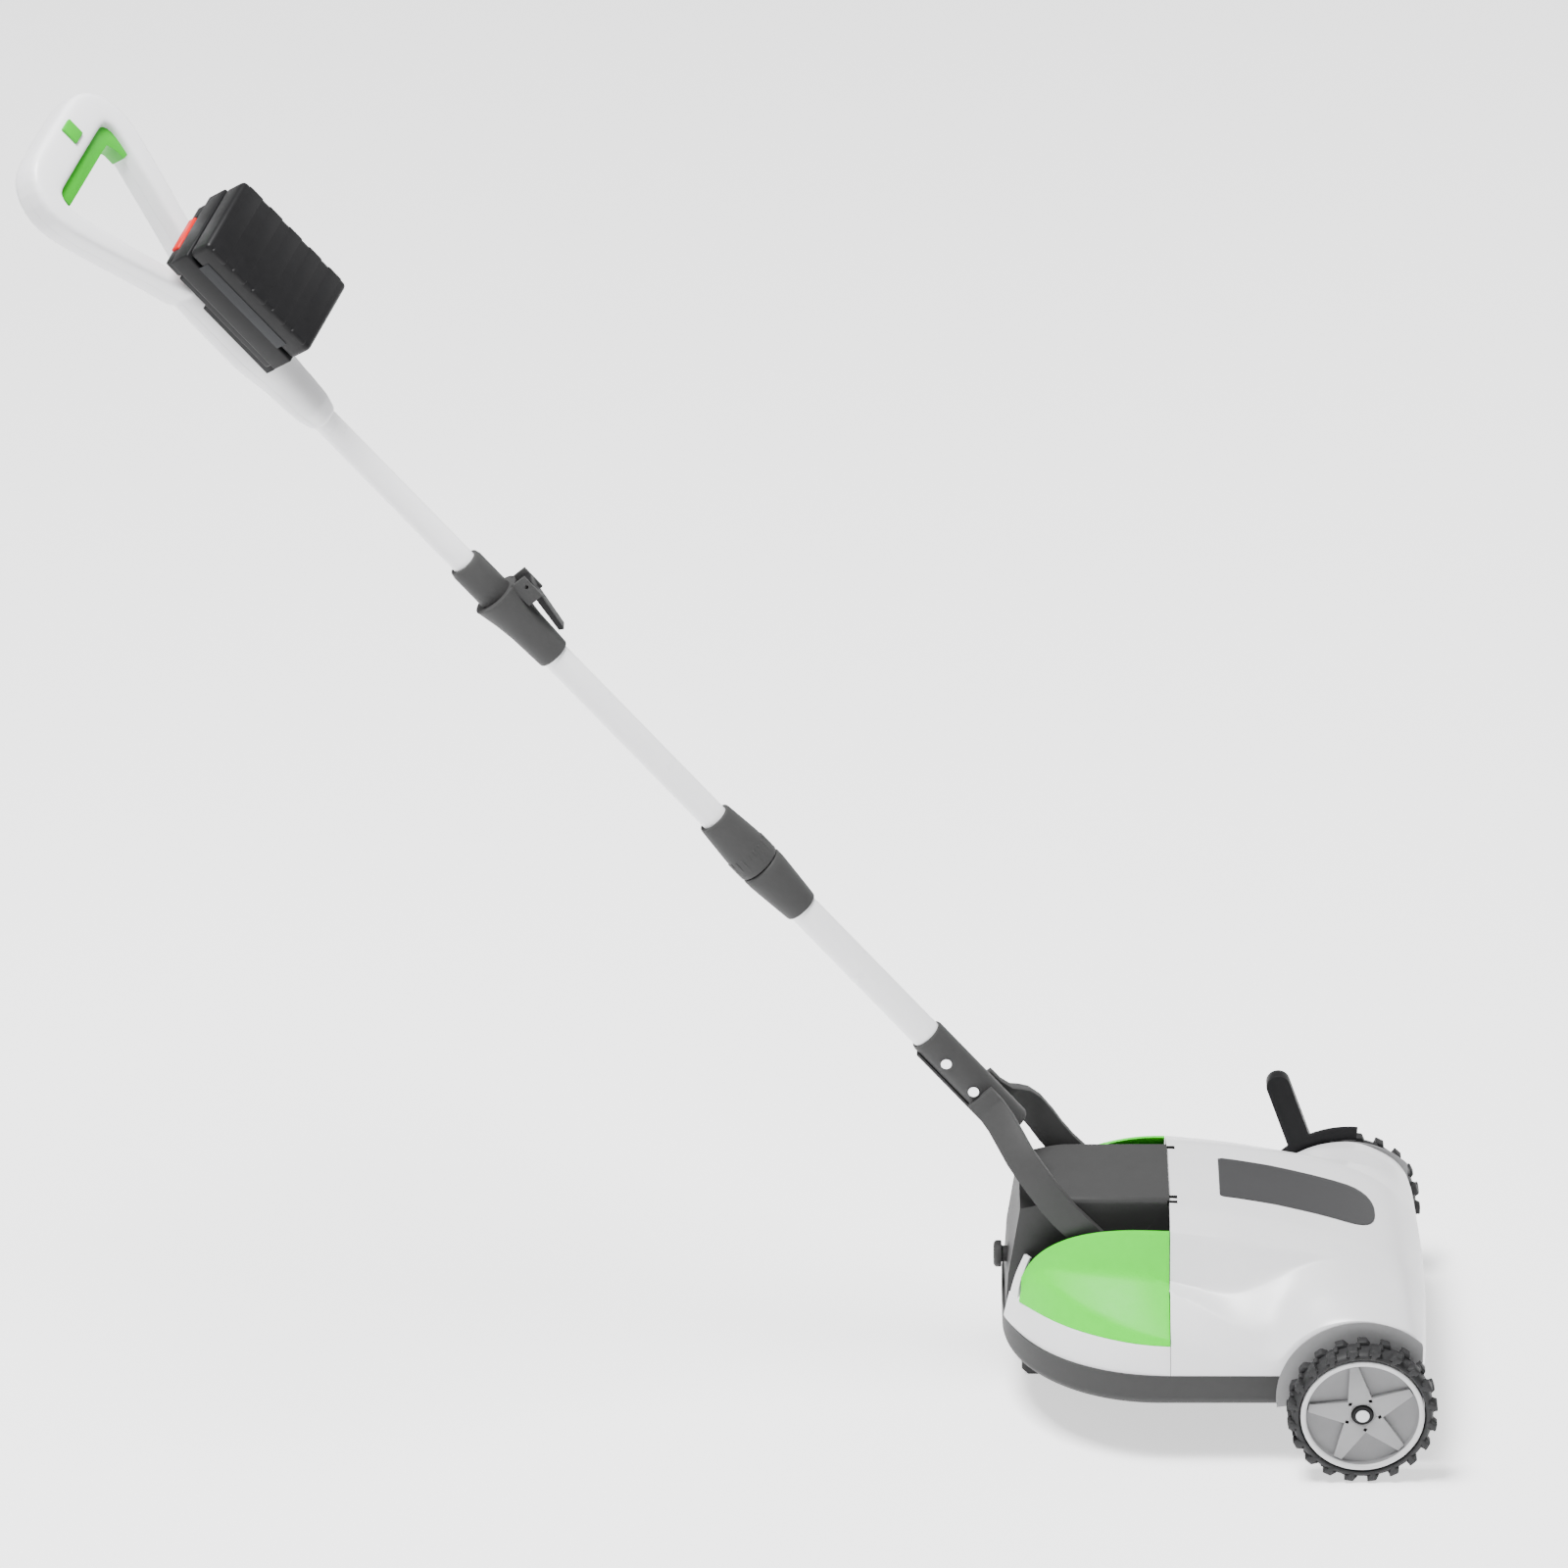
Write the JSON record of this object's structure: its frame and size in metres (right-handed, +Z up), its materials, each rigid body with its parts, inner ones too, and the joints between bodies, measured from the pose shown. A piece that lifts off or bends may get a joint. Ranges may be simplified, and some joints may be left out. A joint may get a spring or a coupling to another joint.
{
  "type": "cordless snow shovel",
  "caption": "Cordless snow shovel: wheeled paddle-rotor head with a hinged yoke, telescoping tube, D-handle with trigger and a slide-on battery pack.",
  "frame": {"origin": "middle of the rear skid's flat sole, on the ground, in the head's plane of symmetry", "axes": "+X forward towards the wheels and rotor mouth, +Y to the tool's left (height lever side), +Z up from the ground"},
  "size_m": [1.0376, 0.34, 1.0382],
  "materials": {
    "white_shell": "satin moulded",
    "green_inlay": "satin moulded",
    "green_control": "satin moulded",
    "dark_plastic": "fine texture",
    "window_panel": "smooth",
    "black_plastic": "fine texture",
    "liner_grey": "fine texture",
    "rim_grey": "satin",
    "tyre": "moulded tread",
    "rubber": "smooth",
    "steel": "brushed",
    "bolt_metal": "polished",
    "white_tube": "powder coated white",
    "motor_can": "plated",
    "bush_bronze": "sintered",
    "circuit_board": "solder mask",
    "battery_case": "fine texture",
    "red_latch": "satin",
    "cell_wrap": "wrapped"
  },
  "bodies": {
    "chassis": {"hood": "white_shell", "window_panel": "window_panel", "rear_shell": "white_shell", "cheek_left": "green_inlay", "cheek_right": "green_inlay", "center_deck": "dark_plastic", "yoke_pivot_pin": "steel", "base_pan": "dark_plastic", "arch_liners": "liner_grey", "rotor_housing": "dark_plastic", "rotor_bearings": "steel", "scraper_bar": "steel", "motor_case": "motor_can", "drive_belt": "rubber", "control_board": "circuit_board", "rear_skid": "dark_plastic"},
    "release_knob": {"tilt_release_knob": "dark_plastic"},
    "axle_set": {"cross_shaft": "steel", "crank_stubs": "steel", "axle_clips": "bolt_metal", "height_lever": "black_plastic"},
    "wheel_right": {"rim_right": "rim_grey", "tyre_right": "tyre", "wheel_bush_right": "bush_bronze"},
    "wheel_left": {"rim_left": "rim_grey", "tyre_left": "tyre", "wheel_bush_left": "bush_bronze"},
    "rotor": {"rotor_tube": "steel", "rotor_bushes": "bush_bronze", "rotor_paddles": "black_plastic", "rotor_tips": "rubber", "rotor_pulley": "dark_plastic"},
    "motor_rotor": {"motor_shaft": "steel", "motor_pulley": "steel"},
    "lower_pole": {"yoke": "dark_plastic", "tube_lower": "white_tube", "bracket_bolts": "bolt_metal", "twist_lock_body": "dark_plastic"},
    "lock_nut": {"twist_lock_nut": "dark_plastic"},
    "middle_pole": {"tube_middle": "white_tube", "cam_lock_body": "dark_plastic", "cam_lock_sleeve": "dark_plastic", "cam_pin": "steel"},
    "cam_lever": {"cam_lever": "dark_plastic"},
    "upper_pole": {"tube_upper": "white_tube"},
    "handle": {"handle_front_shell": "white_shell", "handle_rear_shell": "white_shell", "trigger_pin": "steel", "trigger_switch": "black_plastic", "trigger_spring": "steel", "battery_dock": "black_plastic", "terminal_block": "black_plastic", "handle_screws": "bolt_metal"},
    "trigger": {"trigger": "green_control"},
    "lock_off": {"lock_off_button": "green_control"},
    "tube_button": {"tube_button": "black_plastic"},
    "battery": {"battery_case_upper": "battery_case", "battery_case_lower": "battery_case", "battery_cells": "cell_wrap"},
    "battery_latch": {"battery_latch": "red_latch"}
  },
  "joints": [
    {"name": "handle_tilt", "type": "hinge", "parent": "chassis", "child": "lower_pole", "pos_m": [0.058, 0, 0.118], "axis": [0, 1, 0], "range_deg": [-20, 38]},
    {"name": "tilt_release_press", "type": "slide", "parent": "chassis", "child": "release_knob", "axis": [1, 0, 0], "range_m": [0, 0.003], "stiffness_N_per_m": 600, "springref_m": -0.004},
    {"name": "height_adjust", "type": "hinge", "parent": "chassis", "child": "axle_set", "pos_m": [0.224, 0, 0.056], "axis": [0, 1, 0], "range_deg": [-18, 18]},
    {"name": "wheel_right_spin", "type": "hinge", "parent": "axle_set", "child": "wheel_right", "pos_m": [0.232, -0.158, 0.056], "axis": [0, 1, 0], "continuous": true},
    {"name": "wheel_left_spin", "type": "hinge", "parent": "axle_set", "child": "wheel_left", "pos_m": [0.232, 0.158, 0.056], "axis": [0, 1, 0], "continuous": true},
    {"name": "rotor_spin", "type": "hinge", "parent": "chassis", "child": "rotor", "pos_m": [0.224, 0, 0.056], "axis": [0, 1, 0], "continuous": true},
    {"name": "motor_spin", "type": "hinge", "parent": "chassis", "child": "motor_rotor", "pos_m": [0.146, 0.1, 0.078], "axis": [0, 1, 0], "continuous": true},
    {"name": "twist_lock_turn", "type": "hinge", "parent": "lower_pole", "child": "lock_nut", "pos_m": [-0.22121, 0, 0.43694], "axis": [-0.6561, 0, 0.7547], "range_deg": [-90, 0]},
    {"name": "middle_tube_slide", "type": "slide", "parent": "lower_pole", "child": "middle_pole", "axis": [-0.6561, 0, 0.7547], "range_m": [-0.11, 0.04]},
    {"name": "cam_lever_flip", "type": "hinge", "parent": "middle_pole", "child": "cam_lever", "pos_m": [-0.38286, 0, 0.65948], "axis": [0, -1, 0], "range_deg": [0, 100]},
    {"name": "upper_tube_slide", "type": "slide", "parent": "middle_pole", "child": "upper_pole", "axis": [-0.6561, 0, 0.7547], "range_m": [-0.13, 0.05]},
    {"name": "handle_twist", "type": "hinge", "parent": "upper_pole", "child": "handle", "pos_m": [-0.54268, 0, 0.80675], "axis": [-0.6561, 0, 0.7547], "range_deg": [0, 56]},
    {"name": "trigger_pull", "type": "hinge", "parent": "handle", "child": "trigger", "pos_m": [-0.68628, 0.04106, 1.00522], "axis": [-0.6664, 0.4695, -0.5793], "range_deg": [0, 6], "stiffness_Nm_per_rad": 0.8, "springref_deg": -11.46, "deforming": ["trigger_spring"]},
    {"name": "lock_off_press", "type": "slide", "parent": "handle", "child": "lock_off", "axis": [-0.6664, 0.4695, -0.5793], "range_m": [0, 0.003], "stiffness_N_per_m": 400, "springref_m": -0.004},
    {"name": "tube_button_press", "type": "slide", "parent": "handle", "child": "tube_button", "axis": [0.6664, -0.4695, 0.5793], "range_m": [0, 0.0015], "stiffness_N_per_m": 600, "springref_m": -0.004},
    {"name": "battery_slide", "type": "slide", "parent": "handle", "child": "battery", "axis": [-0.6561, 0, 0.7547], "range_m": [0, 0.075]},
    {"name": "battery_latch_press", "type": "slide", "parent": "battery", "child": "battery_latch", "axis": [0.6664, -0.4695, 0.5793], "range_m": [0, 0.003], "stiffness_N_per_m": 600, "springref_m": -0.004}
  ],
  "couplings": [
    {"joint": "motor_spin", "follows": "rotor_spin", "ratio": 2.6667}
  ]
}
